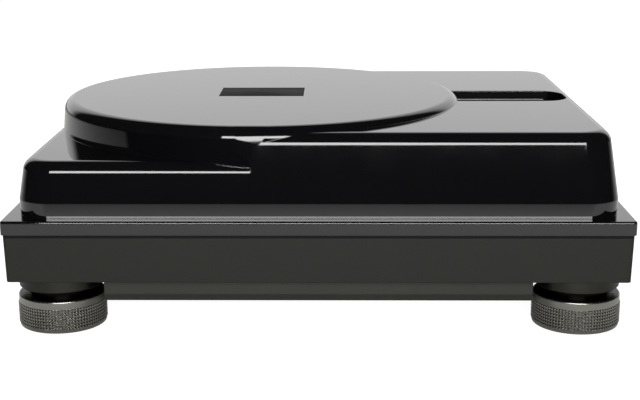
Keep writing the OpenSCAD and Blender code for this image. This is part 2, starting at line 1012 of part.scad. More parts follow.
module arm_base() {
    color("#9b9ea1") at_pivot() difference() {
        union() {
            post(base_flange_r, deck_z, deck_z + base_flange_h);
            post(arm_bore_r + sleeve_wall, sleeve_bottom, carriage_z - gap);
        }
        post(arm_bore_r + fit, sleeve_bottom - eps, carriage_z + eps);
    }
}

module height_ring() {
    color("#2b2b2d") at_pivot() difference() {
        post(base_flange_r - 4, height_ring_z, height_ring_z + ring_top_h);
        post(arm_bore_r + sleeve_wall + gap, height_ring_z - eps, height_ring_z + ring_top_h + eps);
        for (a = [0 : 17])
            rotate([0, 0, 20 * a]) translate([base_flange_r - 3, 0, 0])
                post(2.2, height_ring_z - eps, height_ring_z + ring_top_h + eps, $fn = 24);
    }
}

module arm_carriage() {
    color("#2e2e30") at_pivot() difference() {
        union() {
            post(arm_bore_r, sleeve_bottom + 4, carriage_top);
            post(carriage_r, carriage_z, carriage_top);
            translate([skate_x, -skate_y, 0])
                post(skate_r + 1, carriage_z, carriage_top);
            translate([lever_x + 1, -lever_y, 0])
                post(10, carriage_z, carriage_top);
            post(spigot_r, carriage_top, carriage_top + spigot_h);
            for (x = [lever_x - 4, lever_x + 6])
                translate([x, -lever_y, 0])
                    block(3, 8, carriage_top, lever_z + 4);
        }
        translate([skate_x, -skate_y, 0])
            post(2 + fit, carriage_z - eps, carriage_top + eps);
        rotate([0, 0, 245]) translate([cue_reach, 0, 0])
            post(cue_rod_r + fit, carriage_z - eps, carriage_top + eps);
        translate([lever_x - 8, -lever_y, lever_z])
            rod(2 + fit, 0, 20);
    }
}

module cue_lever() {
    color("#c9cbcd") at_pivot() translate([lever_x, -lever_y, lever_z]) {
        rod(2, -5.5, 8.5);
        rod(3.4, -1.9, 3.9);
        rotate([20, 0, 0]) translate([1, -lever_len, 0]) {
            translate([-1.5, 0, -1.2])
                cube([3, lever_len, 2.4]);
            translate([0, 0, -2.4])
                cylinder(r = 3.4, h = 4.8);
        }
    }
}

module cue_platform() {
    bar_z = tube_z - tube_r - gap - cue_bar_r;
    color("#2b2b2d") at_pivot() {
        translate([0, 0, bar_z])
            rotate([0, 0, 205]) rotate_extrude(angle = 76)
                translate([cue_reach, 0]) circle(r = cue_bar_r, $fn = 32);
        rotate([0, 0, 245]) translate([cue_reach, 0, 0])
            post(cue_rod_r, carriage_z - cue_rise - 1.2, bar_z);
    }
}

module anti_skate_dial() {
    color("#2b2b2d") at_pivot() translate([skate_x, -skate_y, 0]) {
        post(skate_r, carriage_top + gap, carriage_top + gap + skate_h);
        post(2, carriage_z, carriage_top + 1);
    }
}

module arm_yoke() {
    hub_z = carriage_top + gap;
    color("#b9bbbd") at_pivot() {
        difference() {
            block(2 * (yoke_in + yoke_t), yoke_d, hub_z, hub_z + 5);
            post(spigot_r + fit, hub_z - eps, hub_z + 5 + eps);
        }
        for (s = [-1, 1]) {
            translate([s * (yoke_in + yoke_t / 2), 0, 0])
                block(yoke_t, yoke_d, hub_z + 5, tube_z + 6);
            translate([s * (yoke_in + 1), 0, tube_z])
                rod(pivot_pin_r, s > 0 ? -5 : -1, s > 0 ? 1 : 5);
        }
    }
}

module arm_tube() {
    color("#c9cbcd") arm_frame() {
        difference() {
            rod(block_r, -block_half, block_half);
            rotate([90, 0, 0])
                cylinder(r = pivot_pin_r + fit, h = 4 * block_r, center = true);
            for (s = [-1, 1])
                translate([0, s * (block_r + 4.5), 0])
                    cube([2 * yoke_d, 10, 4 * block_r], center = true);
        }
        rod(straight_r, block_half - 1, run_0 + 1);
        translate([run_0, 0, 0])
            bend(outward_angle, 1);
        at_outward_run()
            rod(straight_r, -1, run_1 + 1);
        at_outward_run() translate([run_1, 0, 0])
            bend(total_bend, -1);
        at_last_run()
            rod(straight_r, -1, last_run);
        rod(tube_r - 1, -rear_len, -block_half + 1);
    }
}

module headshell_collar() {
    color("#c9cbcd") arm_frame() at_shell()
        difference() {
            rod(tube_r + 1.6, gap, 10);
            rod(neck_pin_r + fit, -eps, 10 + eps);
        }
}

module headshell() {
    color("#c9cbcd") arm_frame() at_shell() {
        rod(neck_pin_r, 0, 18);
        difference() {
            translate([17, -shell_w / 2, -4])
                cube([43, shell_w, shell_t + 4]);
            translate([24, -shell_w / 2 + 2, -4 - eps])
                cube([36 + eps, shell_w - 4, 4 + eps]);
            for (y = [-6, 6])
                translate([38, y, 0])
                    cylinder(r = 1.3, h = 4 * shell_t, center = true);
        }
        translate([50, shell_w / 2 - 1, 0])
            cube([5, 15, 1.4]);
    }
}

module cartridge() {
    color("#1d1d20") arm_frame() at_shell() {
        translate([28, -cart_w / 2 + 1.2, stylus_z - tube_z + 3.2])
            cube([cart_len, cart_w - 2.4, tube_z - stylus_z - 3.2]);
    }
}

module stylus() {
    color("#d8d2c0") arm_frame() at_shell() {
        translate([40, -4, stylus_z - tube_z + 1.2])
            cube([16, 8, 2]);
        translate([shell_reach, 0, stylus_z - tube_z])
            cylinder(r1 = 0.4, r2 = 1.2, h = 1.2);
    }
}

module counterweight() {
    color("#b9bbbd") arm_frame() difference() {
        rod(weight_r, -rear_len + 2, -rear_len + 2 + weight_len);
        rod(tube_r - 1 + fit, -rear_len, -rear_len + 4 + weight_len);
    }
}

module weight_dial() {
    color("#18181a") arm_frame() difference() {
        rod(weight_r - 1, -rear_len + 2 + weight_len + gap, -rear_len + 2 + weight_len + gap + dial_t);
        rod(tube_r - 1 + fit, -rear_len, 0);
    }
}

module arm_rest() {
    color("#2e2e30") arm_frame() at_outward_run() translate([rest_run, 0, 0]) {
        translate([-rest_w / 2, -tube_r, -tube_r - gap - 4])
            cube([rest_w, 2 * tube_r + gap + rest_wall, 4]);
        translate([-rest_w / 2, tube_r + gap, -tube_r - gap - 1])
            cube([rest_w, rest_wall, clip_z - clip_pin_r - gap + tube_r + gap + 1]);
        translate([0, 2, deck_z - tube_z])
            cylinder(r = 4, h = tube_h - tube_r - gap - 3);
        translate([0, 2, deck_z - tube_z])
            cylinder(r = 9, h = 3);
    }
}

// Swinging latch of the arm rest, standing open
module arm_clip() {
    color("#2e2e30") arm_frame() at_outward_run()
        translate([rest_run, tube_r + gap + rest_wall / 2, clip_z])
            rotate([-clip_open, 0, 0]) {
                rod(clip_pin_r, -rest_w / 2, rest_w / 2);
                translate([-rest_w / 2 + 1, -clip_len, -clip_t / 2])
                    cube([rest_w - 2, clip_len, clip_t]);
            }
}

dust_cover();
cover_badge();
deck_top();
cabinet_shell();
rubber_base();
base_screws();
for (n = [0 : 3]) {
    foot_collar(n);
    foot_ring(n);
    foot_pad(n);
}
motor_plate();
stator_coils();
bearing_housing();
rotor_magnet();
spindle();
platter();
platter_mat();
slipmat();
main_board();
transformer();
rca_jacks();
ground_terminal();
power_inlet();
strobe_tower();
strobe_lens();
power_knob();
start_button();
speed_33_button();
speed_45_button();
reset_button();
fader_body();
fader_scale();
fader_knob();
light_sleeve();
target_light();
adapter_45();
arm_base();
height_ring();
arm_carriage();
arm_rest();
arm_clip();
cue_lever();
cue_platform();
anti_skate_dial();
arm_yoke();
arm_tube();
headshell();
headshell_collar();
cartridge();
stylus();
counterweight();
weight_dial();
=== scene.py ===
# %% [markdown]
# # A direct-drive record player under its moulded hard cover
#
# The record player stands on four knurled feet, and a glossy black cover lies over its deck. The CAD
# model is loaded first as a fixed frame: every size and place below is read from it, so a new piece
# fits where it belongs. The script then gives each surface the finish of the real material, and remakes
# the pieces whose beauty is in their curves: the cover, the knurled rings of the feet, the felt and the
# ribbed mat.

# %% Load the frame
import json
import math

import bmesh
import bpy
from mathutils import Matrix, Vector


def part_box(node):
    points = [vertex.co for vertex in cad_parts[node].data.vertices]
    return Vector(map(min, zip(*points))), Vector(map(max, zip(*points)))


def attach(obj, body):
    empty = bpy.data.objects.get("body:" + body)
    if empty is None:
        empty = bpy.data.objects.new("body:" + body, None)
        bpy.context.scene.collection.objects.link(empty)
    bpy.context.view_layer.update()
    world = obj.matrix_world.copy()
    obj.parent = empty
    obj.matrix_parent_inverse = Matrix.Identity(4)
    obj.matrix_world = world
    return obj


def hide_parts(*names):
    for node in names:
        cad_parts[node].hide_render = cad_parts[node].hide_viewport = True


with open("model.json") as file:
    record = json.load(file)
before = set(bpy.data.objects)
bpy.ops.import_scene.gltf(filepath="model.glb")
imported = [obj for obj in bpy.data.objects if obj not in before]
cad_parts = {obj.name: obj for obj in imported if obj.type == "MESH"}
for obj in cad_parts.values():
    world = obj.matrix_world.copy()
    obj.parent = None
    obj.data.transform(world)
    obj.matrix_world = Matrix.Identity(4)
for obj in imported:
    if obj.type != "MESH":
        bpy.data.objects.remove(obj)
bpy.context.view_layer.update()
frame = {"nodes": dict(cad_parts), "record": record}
MM = 0.001

# %% [markdown]
# ## Measures
#
# The cover's box gives its top and its brim, the platter's box its middle, and a foot's box the radius
# of its knurled ring. Sizes that no box can tell, such as a wall's thickness or a corner's radius, are
# written here once.

# %% Measures
cover_low, cover_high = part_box("dust_cover")
deck_top_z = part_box("deck_top")[1].z
brim_top = deck_top_z + 2.8 * MM
low_shelf_z = deck_top_z + 43.3 * MM
high_shelf_z = deck_top_z + 63.5 * MM
drum_top_z = cover_high.z
wall = 2.5 * MM
box_half = Vector((cover_high.x - 8.5 * MM, cover_high.y - 8.5 * MM))
plinth_band_top = brim_top + 11 * MM
draft = math.radians(8.2)
top_rounding = 9 * MM
tiny = 1e-6
platter_low, platter_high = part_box("platter")
platter_centre = (platter_low + platter_high) / 2
drum_radius = 163 * MM
drum_slope = math.radians(4)
print("cover", [round(1000 * (b - a), 1) for a, b in zip(cover_low, cover_high)], "mm")

# %% [markdown]
# ## Camera, lamps and floor
#
# A glossy black moulding is seen mostly by what it mirrors, so the studio is built before the finishes.
# A bright backdrop stands behind it, the pale floor ends a little in front, and one long strip lamp
# draws the thin bright lines along its edges. Everything else that it could mirror is dark, as in a
# product studio.

# %% Camera
camera = bpy.data.objects.new("camera", bpy.data.cameras.new("camera"))
bpy.context.collection.objects.link(camera)
camera.data.sensor_width = 36
camera.data.lens = 70.38
CAMERA_PLACE = (0.0137, -1.03775, 0.3179)
LOOKS_DOWN = 0.2434
LOOKS_LEFT = 0.01378
ROLL = -0.00312
turn = Matrix.Rotation(LOOKS_LEFT, 4, "Z") @ Matrix.Rotation(math.pi / 2 - LOOKS_DOWN, 4, "X")
camera.matrix_world = Matrix.Translation(CAMERA_PLACE) @ turn @ Matrix.Rotation(ROLL, 4, "Z")
bpy.context.scene.camera = camera
bpy.context.scene.view_settings.view_transform = "Standard"
print("camera", round(camera.data.lens, 1), "mm lens")

# %% [markdown]
# A helper adds a node to a material's tree with its values and links in one call, and another turns the
# sRGB hex colours that designers use into the linear numbers that Blender mixes light with.


# %% Node and colour helpers
def add(tree, kind, values=None, links=None, **settings):
    """A new node of this kind in the tree, with its settings, its input values and its input links."""
    made = tree.nodes.new(kind)
    for name, value in settings.items():
        setattr(made, name, value)
    for name, value in (values or {}).items():
        made.inputs[name].default_value = value
    for name, socket in (links or {}).items():
        tree.links.new(socket, made.inputs[name])
    return made


def colour(hex_code):
    """The linear RGBA of an sRGB hex colour."""
    channels = [int(hex_code[i:i + 2], 16) / 255 for i in (1, 3, 5)]
    return [c / 12.92 if c <= 0.04045 else ((c + 0.055) / 1.055) ** 2.4 for c in channels] + [1]


print("#808080 is", round(colour("#808080")[0], 3), "in linear light")

# %% [markdown]
# The world is white to the camera. To every other ray it is a bright backdrop that reaches about 40
# degrees up behind the object, and is dark elsewhere.

# %% World
world = bpy.data.worlds.new("studio")
bpy.context.scene.world = world
world.use_nodes = True
studio = world.node_tree
studio.nodes.clear()
rays = add(studio, "ShaderNodeLightPath")
facing = add(studio, "ShaderNodeTexCoord")
axes = add(studio, "ShaderNodeSeparateXYZ", links={"Vector": facing.outputs["Generated"]})
backdrop_edge = {"From Min": 0.62, "From Max": 0.8, "To Min": 0.012, "To Max": 0.72}
backdrop = add(studio, "ShaderNodeMapRange", backdrop_edge, {"Value": axes.outputs["Y"]},
               interpolation_type="SMOOTHSTEP")
shown = add(studio, "ShaderNodeMix", {3: 1.0}, {0: rays.outputs["Is Camera Ray"], 2: backdrop.outputs[0]})
glow = add(studio, "ShaderNodeBackground", {"Color": (1, 1, 1, 1)}, {"Strength": shown.outputs[0]})
add(studio, "ShaderNodeOutputWorld", links={"Surface": glow.outputs[0]})
print("world nodes:", len(studio.nodes))


# %% Lamps
def softbox(name, where, aim, size, watts):
    """A rectangular lamp at one place, facing another."""
    lamp = bpy.data.lights.new(name, "AREA")
    lamp.shape = "RECTANGLE"
    lamp.size, lamp.size_y = size
    lamp.energy = watts
    made = bpy.data.objects.new(name, lamp)
    bpy.context.collection.objects.link(made)
    made.location = where
    made.rotation_euler = (Vector(aim) - Vector(where)).to_track_quat("-Z", "Y").to_euler()
    return made


softbox("front_lamp", (0.05, -1.35, 0.46), (0, -0.15, 0.12), (1.1, 0.4), 12.5)
top_lamp = softbox("top_lamp", (0, 0.25, 1.9), (0, 0, 0), (1.6, 1.2), 16)
back_lamp = softbox("back_lamp", (0, 1.7, 1.1), (0, 0, 0.1), (2, 1.2), 7)
top_lamp.visible_glossy = False
back_lamp.visible_glossy = False

# %% [markdown]
# The floor is plain and pale. Mirrored in the cover it ends about half a metre in front, as a table's
# edge does, which leaves the lower edge of the cover lit and its walls deep black.

# %% Floor
floor_mesh = bpy.data.meshes.new("floor")
bm = bmesh.new()
bmesh.ops.create_grid(bm, x_segments=1, y_segments=1, size=6)
bm.to_mesh(floor_mesh)
bm.free()
floor = bpy.data.objects.new("floor", floor_mesh)
bpy.context.collection.objects.link(floor)
floor.location.z = -0.2 * MM
paper = bpy.data.materials.new("white_paper")
paper.use_nodes = True
tree = paper.node_tree
tree.nodes.clear()
rays = add(tree, "ShaderNodeLightPath")
spot = add(tree, "ShaderNodeTexCoord")
spot_axes = add(tree, "ShaderNodeSeparateXYZ", links={"Vector": spot.outputs["Object"]})
near = add(tree, "ShaderNodeMapRange", {"From Min": -0.62, "From Max": -0.5, "To Min": 0.0, "To Max": 1.0},
           {"Value": spot_axes.outputs["Y"]})
seen = add(tree, "ShaderNodeMix", {2: 1.0}, {0: rays.outputs["Is Glossy Ray"], 3: near.outputs[0]})
matt = add(tree, "ShaderNodeBsdfDiffuse", {"Color": colour("#f4f4f3")})
white = add(tree, "ShaderNodeMath", {1: 1.9}, {0: rays.outputs["Is Camera Ray"]}, operation="MULTIPLY")
lift = add(tree, "ShaderNodeEmission", {"Color": (1, 1, 1, 1)}, {"Strength": white.outputs[0]})
half = add(tree, "ShaderNodeMath", {1: 0.5}, {0: rays.outputs["Is Camera Ray"]}, operation="MULTIPLY")
pale = add(tree, "ShaderNodeMixShader", links={0: half.outputs[0], 1: matt.outputs[0], 2: lift.outputs[0]})
dark = add(tree, "ShaderNodeBsdfDiffuse", {"Color": colour("#101010")})
both = add(tree, "ShaderNodeMixShader", links={0: seen.outputs[0], 1: dark.outputs[0], 2: pale.outputs[0]})
add(tree, "ShaderNodeOutputMaterial", links={"Surface": both.outputs[0]})
floor_mesh.materials.append(paper)
print("floor", floor.dimensions.x, "m wide")

# %% [markdown]
# ## Finishes
#
# Every finish starts from one small function, which makes a material with the shader and Object
# coordinates, the place of each point in metres. Each then adds what its real surface has: grain, lathe
# lines or knitted fibre as bump, and patches that are a little rougher or paler than the rest. A Bevel
# node rounds the shading of sharp edges, as deburring or moulding does, so that every edge catches a
# thin line of light.


# %% Helpers for finishes
def finish(name, **values):
    """A new material, its node tree, its shader with these values, and its Object coordinates."""
    material = bpy.data.materials.new(name)
    material.use_nodes = True
    tree = material.node_tree
    tree.nodes.clear()
    spelled = {name.replace("_", " "): value for name, value in values.items()}
    shader = add(tree, "ShaderNodeBsdfPrincipled", spelled)
    add(tree, "ShaderNodeOutputMaterial", links={"Surface": shader.outputs[0]})
    coords = add(tree, "ShaderNodeTexCoord")
    return material, tree, shader, coords.outputs["Object"]


def relief(tree, shader, height, depth, edge):
    """Bump of the given depth from a height between 0 and 1, over edges rounded to the radius edge."""
    rounded = add(tree, "ShaderNodeBevel", {"Radius": edge}, samples=6)
    bump = add(tree, "ShaderNodeBump", {"Strength": 1.0, "Distance": depth},
               {"Height": height, "Normal": rounded.outputs[0]})
    tree.links.new(bump.outputs[0], shader.inputs["Normal"])


def grain(tree, coords, size, detail=2.0):
    """Noise whose lumps are about that many metres across."""
    noise = add(tree, "ShaderNodeTexNoise", {"Scale": 1 / size, "Detail": detail}, {"Vector": coords})
    return noise.outputs["Fac"]


def between(tree, socket, amount, low, high):
    """Drives a number socket of the shader from low to high by amount."""
    limits = {"From Min": 0.3, "From Max": 0.7, "To Min": low, "To Max": high}
    ranged = add(tree, "ShaderNodeMapRange", limits, {"Value": amount})
    tree.links.new(ranged.outputs[0], socket)


def mottle(tree, shader, amount, first, second):
    """Colours the surface from one hex colour to another by amount."""
    mix = add(tree, "ShaderNodeMix", {6: colour(first), 7: colour(second)}, {0: amount}, data_type="RGBA")
    tree.links.new(mix.outputs[2], shader.inputs["Base Color"])


# %% [markdown]
# The cover is ABS sheet with an acrylic face, which comes out of its mould like black glass. Real gloss
# is never perfect: very shallow waves, about 30 mm long, bend its reflections a little, and wiping
# leaves faint dull patches.


# %% Glossy mouldings
def gloss_acrylic(name, body, second, wave=30 * MM, edge=1.3 * MM):
    """Moulded glossy plastic: mirror-like, with slow waves and a few dull wipe marks."""
    material, tree, shader, coords = finish(name, IOR=1.5, Coat_Weight=0.8, Coat_Roughness=0.03)
    mottle(tree, shader, grain(tree, coords, 60 * MM), body, second)
    between(tree, shader.inputs["Roughness"], grain(tree, coords, 18 * MM, 5), 0.035, 0.06)
    relief(tree, shader, grain(tree, coords, wave, 0), 0.02 * MM, edge)
    return material


cover_acrylic = gloss_acrylic("black_gloss_acrylic", "#0b0b0d", "#0e0e10")
red_acrylic = gloss_acrylic("red_lens_acrylic", "#8f1d16", "#a8281e", edge=0.5 * MM)
print("gloss finishes:", cover_acrylic.name, red_acrylic.name)

# %% [markdown]
# The cabinet is a die-casting under textured paint, whose pebbles are about half a millimetre across.
# They are drawn at 0.9 mm so that they still show, and their tops are slightly paler than the hollows
# between them.


# %% Paints
def textured_paint(name, hollow, top, pebble, depth, roughness, edge=0.7 * MM, ior=1.4):
    """Baked paint with a fine pebbled surface."""
    material, tree, shader, coords = finish(name, IOR=ior)
    pebbles = add(tree, "ShaderNodeTexVoronoi", {"Scale": 1 / pebble}, {"Vector": coords},
                  feature="SMOOTH_F1")
    clouds = grain(tree, coords, 45 * MM, 3)
    both = add(tree, "ShaderNodeMath", {1: 0.55}, {0: pebbles.outputs["Distance"]}, operation="MULTIPLY")
    shade = add(tree, "ShaderNodeMath", links={0: both.outputs[0], 1: clouds}, operation="MULTIPLY_ADD")
    shade.inputs[2].default_value = 0.15
    mottle(tree, shader, shade.outputs[0], top, hollow)
    between(tree, shader.inputs["Roughness"], clouds, roughness, roughness + 0.1)
    relief(tree, shader, pebbles.outputs["Distance"], depth, edge)
    return material


cabinet_paint = textured_paint("cabinet_textured_paint", "#181a15", "#22231d", 0.9 * MM, 0.05 * MM, 0.5)
# The deck is black paint, made darker still as painted shade for its lip, which shows only in the shaded gap
# under the cover's brim.
deck_paint_and_shade = textured_paint("deck_matt_paint", "#0b0b0c", "#111112", 0.7 * MM, 0.01 * MM, 0.45,
                            edge=0.3 * MM, ior=1.25)
badge_enamel = textured_paint("badge_matt_enamel", "#070708", "#0a0a0b", 0.5 * MM, 0.004 * MM, 0.55,
                              edge=0.3 * MM, ior=1.25)
arm_paint = textured_paint("tonearm_satin_paint", "#1d1d1e", "#29292a", 0.6 * MM, 0.01 * MM, 0.3, 0.4 * MM)
scale_paint = textured_paint("fader_scale_paint", "#101011", "#19191a", 0.6 * MM, 0.008 * MM, 0.4, 0.3 * MM)
moulded_abs = textured_paint("fine_grain_abs", "#151516", "#1e1e1f", 0.6 * MM, 0.02 * MM, 0.45, 0.3 * MM)
print("paints:", cabinet_paint.name, deck_paint_and_shade.name, arm_paint.name, scale_paint.name, moulded_abs.name)

# %% [markdown]
# Aluminium parts are turned or bead-blasted and then anodised, which leaves a fine even satin. A metal
# keeps its IOR and takes its look from colour and roughness alone. Cast zinc is coarser, and steel has
# the same even pits.


# %% Metals
def blasted_metal(name, first, second, roughness, bead, depth, edge=0.4 * MM):
    """Metal with the fine even pits of bead blasting or casting."""
    material, tree, shader, coords = finish(name, Metallic=1.0)
    pits = grain(tree, coords, bead, 3)
    mottle(tree, shader, grain(tree, coords, 20 * MM, 3), first, second)
    between(tree, shader.inputs["Roughness"], pits, roughness, roughness + 0.12)
    relief(tree, shader, pits, depth, edge)
    return material


satin_aluminium = blasted_metal("satin_anodised_aluminium", "#b2b4b6", "#c2c4c5", 0.24, 0.5 * MM, 0.006 * MM)
black_aluminium = blasted_metal("black_anodised_aluminium", "#3b3a36", "#45443f", 0.36, 0.5 * MM, 0.008 * MM)
knurled_aluminium = blasted_metal("knurled_black_aluminium", "#908e86", "#9e9c96", 0.18, 0.5 * MM,
                                  0.004 * MM, edge=0.15 * MM)
cast_zinc = blasted_metal("cast_zinc", "#8d8f91", "#a3a5a7", 0.38, 1.2 * MM, 0.04 * MM, 0.8 * MM)
magnet_ferrite = blasted_metal("magnet_ferrite", "#2f2f31", "#414143", 0.5, 0.8 * MM, 0.02 * MM)
zinc_steel = blasted_metal("zinc_plated_steel", "#9c9d9b", "#b4b5b2", 0.28, 0.7 * MM, 0.005 * MM)
print("metals:", satin_aluminium.name, black_aluminium.name, cast_zinc.name)

# %% [markdown]
# The knurled ring of a foot is bright metal. Its neck above lies in the dark gap under the collar, so its
# shade
# is painted: the metal's colour is multiplied by a dark grey above the height where the neck starts.

# %% Painted shade on the necks
NECK_START_Z = 25.4 * MM
tree = knurled_aluminium.node_tree
shader = next(node for node in tree.nodes if node.type == "BSDF_PRINCIPLED")
coords = next(node for node in tree.nodes if node.type == "TEX_COORD")
height = add(tree, "ShaderNodeSeparateXYZ", links={"Vector": coords.outputs["Object"]})
above = add(tree, "ShaderNodeMath", {1: NECK_START_Z}, {0: height.outputs["Z"]}, operation="GREATER_THAN")
ring_metal_colour = shader.inputs["Base Color"].links[0].from_socket
# Painted shade: the neck's colour is darkened where the collar shades it.
painted_neck_shade = add(tree, "ShaderNodeMix", {7: colour("#2a2a28")}, {0: above.outputs[0], 6: ring_metal_colour},
            data_type="RGBA", blend_type="MULTIPLY")
tree.links.new(painted_neck_shade.outputs[2], shader.inputs["Base Color"])
print("necks are black above", round(1000 * NECK_START_Z, 1), "mm")

# %% [markdown]
# The tone arm is chromed brass tube. Chrome is nearly a mirror, so only faint polishing haze is added.
# Turned brass and the copper windings show rings and wires, drawn with a Wave texture at the pitch of
# the tool or the wire.


# %% Chrome, turned metal and windings
def chrome(name):
    """Polished plating with a trace of haze."""
    material, tree, shader, coords = finish(name, Metallic=1.0)
    haze = grain(tree, coords, 9 * MM, 4)
    mottle(tree, shader, haze, "#c6c8ca", "#d6d8d9")
    between(tree, shader.inputs["Roughness"], haze, 0.05, 0.12)
    relief(tree, shader, haze, 0.01 * MM, 0.3 * MM)
    return material


def lined_metal(name, first, second, pitch, depth, roughness, kind="BANDS", axis="Z", centre=(0, 0, 0)):
    """Metal with lathe rings, laminations or wires at an even pitch."""
    material, tree, shader, coords = finish(name, Metallic=1.0)
    placed = add(tree, "ShaderNodeMapping", {"Location": [-c for c in centre]}, {"Vector": coords})
    wave = {"Scale": math.pi / (10 * pitch), "Distortion": 0.4, "Detail Scale": 0.5}
    lines = add(tree, "ShaderNodeTexWave", wave, {"Vector": placed.outputs[0]}, wave_type=kind,
                bands_direction=axis, rings_direction=axis)
    mottle(tree, shader, lines.outputs["Fac"], first, second)
    between(tree, shader.inputs["Roughness"], grain(tree, coords, 12 * MM, 3), roughness, roughness + 0.12)
    relief(tree, shader, lines.outputs["Fac"], depth, 0.3 * MM)
    return material


arm_chrome = chrome("tonearm_chrome")
turned_brass = lined_metal("turned_brass", "#a88943", "#c8a85a", 0.6 * MM, 0.01 * MM, 0.22, axis="Y")
copper_winding = lined_metal("enamelled_copper_winding", "#7d3f1f", "#b8683a", 0.8 * MM, 0.25 * MM, 0.3)
core_laminations = lined_metal("lacquered_core_steel", "#4c473f", "#6f685b", 0.7 * MM, 0.06 * MM, 0.45,
                               axis="X")
print("turned and wound:", turned_brass.name, copper_winding.name, core_laminations.name)

# %% [markdown]
# The platter is turned from cast aluminium. Rings from the lathe run round it, and on the sloping rim
# four rows of small raised dots stand still or drift in the strobe's red light, which shows the speed.
# The dots are placed by the angle round the spindle, so their spacing is a share of the full turn.


# %% Platter with strobe dots
DOTS_IN_A_TURN = 180


def strobe_metal(name):
    """Turned aluminium with four rows of bright dots round the rim."""
    material, tree, shader, coords = finish(name, Metallic=1.0)
    to_spindle = (-platter_centre.x, -platter_centre.y, 0)
    placed = add(tree, "ShaderNodeMapping", {"Location": to_spindle}, {"Vector": coords})
    axes = add(tree, "ShaderNodeSeparateXYZ", links={"Vector": placed.outputs[0]})
    angle = add(tree, "ShaderNodeMath", links={0: axes.outputs["Y"], 1: axes.outputs["X"]},
                operation="ARCTAN2")
    across = add(tree, "ShaderNodeMath", {1: DOTS_IN_A_TURN / (2 * math.pi)}, {0: angle.outputs[0]},
                 operation="MULTIPLY")
    rim_height = {"From Min": platter_low.z + 3.8 * MM, "From Max": platter_high.z - 1 * MM,
                  "To Min": 0.0, "To Max": 4.0}
    up = add(tree, "ShaderNodeMapRange", rim_height, {"Value": axes.outputs["Z"]}, clamp=False)
    cell_x = add(tree, "ShaderNodeMath", {1: 1.0}, {0: across.outputs[0]}, operation="PINGPONG")
    cell_z = add(tree, "ShaderNodeMath", {1: 0.5}, {0: up.outputs[0]}, operation="PINGPONG")
    cell = add(tree, "ShaderNodeCombineXYZ", links={"X": cell_x.outputs[0], "Y": cell_z.outputs[0]})
    middle = add(tree, "ShaderNodeVectorMath", {1: (0.5, 0.5, 0)}, {0: cell.outputs[0]}, operation="DISTANCE")
    dot = add(tree, "ShaderNodeMapRange", {"From Min": 0.3, "From Max": 0.36, "To Min": 1.0, "To Max": 0.0},
              {"Value": middle.outputs["Value"]})
    rows = add(tree, "ShaderNodeMath", {1: 2.0, 2: 2.02}, {0: up.outputs[0]}, operation="COMPARE")
    dots = add(tree, "ShaderNodeMath", links={0: dot.outputs[0], 1: rows.outputs[0]}, operation="MULTIPLY")
    tool_pitch = 0.9 * MM
    rings = add(tree, "ShaderNodeTexWave", {"Scale": math.pi / (10 * tool_pitch)},
                {"Vector": placed.outputs[0]}, wave_type="RINGS", rings_direction="Z")
    mottle(tree, shader, dots.outputs[0], "#8b8d90", "#e6e7e8")
    between(tree, shader.inputs["Roughness"], rings.outputs["Fac"], 0.22, 0.34)
    height = add(tree, "ShaderNodeMath", {1: 0.1}, {0: rings.outputs["Fac"], 2: dots.outputs[0]},
                 operation="MULTIPLY_ADD")
    relief(tree, shader, height.outputs[0], 0.3 * MM, 0.4 * MM)
    return material


platter_aluminium = strobe_metal("turned_platter_aluminium")
print("platter finish:", platter_aluminium.name)

# %% [markdown]
# Rubber and felt are matt. The base is a heavy moulded rubber with a faint bloom, drawn as pale clouds.
# Felt is a mat of fibres: noise stretched into short threads gives its nap, and Sheen its soft bright
# edge.


# %% Rubber, felt and circuit board
def moulded_rubber(name, first, second, roughness, edge=0.8 * MM):
    """Moulded rubber with a dull bloom and a fine skin."""
    material, tree, shader, coords = finish(name, IOR=1.52)
    skin = grain(tree, coords, 0.8 * MM, 3)
    mottle(tree, shader, grain(tree, coords, 30 * MM, 5), first, second)
    between(tree, shader.inputs["Roughness"], skin, roughness, roughness + 0.12)
    relief(tree, shader, skin, 0.03 * MM, edge)
    return material


def wool_felt(name):
    """Pressed wool felt with a nap of short fibres."""
    material, tree, shader, coords = finish(name, Roughness=0.95, Sheen_Weight=0.5, Sheen_Roughness=0.4)
    longer = add(tree, "ShaderNodeMapping", {"Scale": (1, 0.3, 1)}, {"Vector": coords})
    fibres = grain(tree, longer.outputs[0], 0.9 * MM, 6)
    mottle(tree, shader, fibres, "#161618", "#343438")
    relief(tree, shader, fibres, 0.3 * MM, 0.4 * MM)
    return material


def solder_mask(name):
    """A green circuit board, darker where no copper lies under its lacquer."""
    material, tree, shader, coords = finish(name, IOR=1.5, Roughness=0.3)
    layout = {"Scale": 1 / (12 * MM), "Mortar Size": 0.03, "Color1": (1, 1, 1, 1),
              "Color2": (0.7, 0.7, 0.7, 1), "Mortar": (0, 0, 0, 1)}
    tracks = add(tree, "ShaderNodeTexBrick", layout, {"Vector": coords})
    mottle(tree, shader, tracks.outputs["Color"], "#163d29", "#24533a")
    relief(tree, shader, tracks.outputs["Fac"], 0.04 * MM, 0.2 * MM)
    return material


base_rubber = moulded_rubber("base_rubber", "#25261f", "#2f3028", 0.42, 1.2 * MM)
pad_rubber = moulded_rubber("foot_pad_rubber", "#121212", "#1c1c1c", 0.6)
mat_rubber = moulded_rubber("platter_mat_rubber", "#121213", "#1b1b1c", 0.5, 0.4 * MM)
felt = wool_felt("slipmat_felt")
board = solder_mask("circuit_board_lacquer")
stylus_plastic = gloss_acrylic("stylus_plastic", "#cfc8b4", "#ddd7c6", edge=0.2 * MM)
print("soft finishes:", base_rubber.name, felt.name, board.name)

# %% [markdown]
# Each CAD node names a material slot in the record. The slots are matched with the finishes here, and
# the finish is set in the material slots of every node's own mesh.

